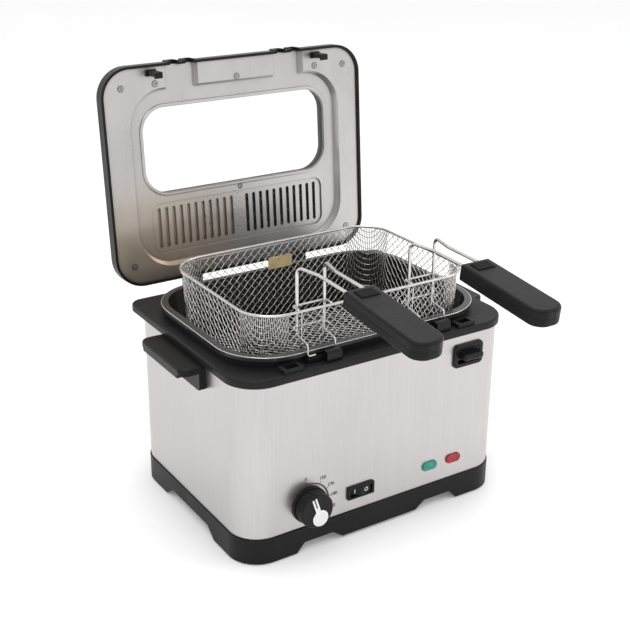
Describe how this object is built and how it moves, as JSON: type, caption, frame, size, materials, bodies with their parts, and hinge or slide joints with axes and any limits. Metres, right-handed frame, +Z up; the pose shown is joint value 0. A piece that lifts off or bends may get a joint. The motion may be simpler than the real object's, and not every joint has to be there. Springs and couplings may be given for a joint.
{
  "type": "deep fryer",
  "caption": "Electric deep fryer with a hinged window lid, lift-out oil bowl and a wire basket on two long handles, shown open with the basket raised.",
  "frame": {"origin": "on the floor under the middle of the casing", "axes": "-Y is the front with the controls, +Z is up, +X is the right side seen from the front"},
  "size_m": [0.386, 0.4878, 0.457],
  "materials": {
    "plinth_plastic": "fine matt grain",
    "deck_plastic": "fine matt grain",
    "rubber": "matt",
    "casing_steel": "vertical brushing",
    "base_steel": "mill finish",
    "screw_steel": "bright plated",
    "bowl_coating": "black non-stick",
    "wire_chrome": "bright plated wire",
    "clip_metal": "warm plated sheet",
    "grip_plastic": "satin moulded",
    "grip_under": "satin moulded",
    "button_plastic": "ribbed, matt",
    "gloss_black": "gloss",
    "knob_plastic": "satin with fine flutes",
    "pointer_chrome": "bright plated plastic",
    "switch_plastic": "semi gloss",
    "green_lens": "translucent",
    "red_lens": "translucent",
    "lamp_housing": "plain moulded",
    "shield_metal": "plain sheet",
    "element_metal": "dark oxidised sheath",
    "control_plastic": "moulded",
    "cable_rubber": "insulated leads",
    "hinge_plastic": "fine matt grain",
    "pin_steel": "ground",
    "lid_plastic": "satin moulded",
    "liner_steel": "satin pressed sheet",
    "window_glass": "clear",
    "seal_rubber": "matt",
    "filter_felt": "carbon felt with pale flecks"
  },
  "bodies": {
    "base": {"base_plinth": "plinth_plastic", "rubber_feet": "rubber", "base_cover": "base_steel", "base_screws": "screw_steel", "outer_casing": "casing_steel", "top_frame": "deck_plastic", "hook_rests": "gloss_black", "carry_handle_left": "grip_plastic", "carry_handle_right": "grip_plastic", "release_bezel": "gloss_black", "heat_shield": "shield_metal", "heating_element": "element_metal", "thermostat_body": "control_plastic", "thermostat_probe": "pin_steel", "thermal_cutout": "control_plastic", "terminal_block": "control_plastic", "switch_housing": "switch_plastic", "ready_lamp": "green_lens", "power_lamp": "red_lens", "lamp_holders": "lamp_housing", "hinge_brackets": "hinge_plastic", "hinge_pins": "pin_steel", "cord_inlet": "rubber", "wiring": "cable_rubber"},
    "bowl": {"oil_bowl": "bowl_coating"},
    "basket": {"basket_mesh": "wire_chrome", "basket_rim": "wire_chrome", "basket_frame": "wire_chrome", "handle_wire_left": "wire_chrome", "handle_wire_right": "wire_chrome", "hook_wires": "wire_chrome", "mesh_clip": "clip_metal", "grip_left": "grip_plastic", "grip_right": "grip_plastic", "grip_cover_left": "grip_under", "grip_cover_right": "grip_under"},
    "button_left": {"grip_button_left": "button_plastic"},
    "button_right": {"grip_button_right": "button_plastic"},
    "lid": {"lid_shell": "lid_plastic", "lid_liner": "liner_steel", "window_glass": "window_glass", "window_seal": "seal_rubber", "grease_filter": "filter_felt", "filter_grille": "lid_plastic", "latch_hooks": "gloss_black", "lid_screws": "screw_steel", "hinge_arms": "hinge_plastic"},
    "knob": {"thermostat_knob": "knob_plastic", "knob_pointer": "pointer_chrome", "thermostat_shaft": "pin_steel"},
    "rocker": {"switch_rocker": "switch_plastic"},
    "release": {"release_lever": "gloss_black"},
    "latch": {"latch_slider": "pin_steel"}
  },
  "joints": [
    {"name": "lid_hinge", "type": "hinge", "parent": "base", "child": "lid", "pos_m": [0, 0.1365, 0.1975], "axis": [1, 0, 0], "range_deg": [0, 94.5]},
    {"name": "bowl_lift", "type": "slide", "parent": "base", "child": "bowl", "axis": [0, 0, -1], "range_m": [-0.15, 0]},
    {"name": "basket_lower", "type": "slide", "parent": "bowl", "child": "basket", "axis": [0, 0, -1], "range_m": [0, 0.079], "deforming": ["hook_wires"]},
    {"name": "grip_button_left_press", "type": "slide", "parent": "basket", "child": "button_left", "axis": [0, 0.1045, -0.9945], "range_m": [0, 0.0015], "stiffness_N_per_m": 400},
    {"name": "grip_button_right_press", "type": "slide", "parent": "basket", "child": "button_right", "axis": [0, 0.1045, -0.9945], "range_m": [0, 0.0015], "stiffness_N_per_m": 400},
    {"name": "thermostat_turn", "type": "hinge", "parent": "base", "child": "knob", "pos_m": [-0.0895, -0.13, 0.0555], "axis": [0, 1, 0], "range_deg": [0, 250]},
    {"name": "switch_rock", "type": "hinge", "parent": "base", "child": "rocker", "pos_m": [-0.026, -0.1185, 0.052], "axis": [0, 0, 1], "range_deg": [0, 16]},
    {"name": "release_press", "type": "slide", "parent": "base", "child": "release", "axis": [0, 1, 0], "range_m": [0, 0.003], "stiffness_N_per_m": 500},
    {"name": "latch_slide", "type": "slide", "parent": "base", "child": "latch", "axis": [0, 1, 0], "range_m": [0, 0.003]}
  ],
  "couplings": [
    {"joint": "basket_lower", "follows": "lid_hinge", "m_per_rad": 0.047837},
    {"joint": "latch_slide", "follows": "release_press", "ratio": 1}
  ]
}
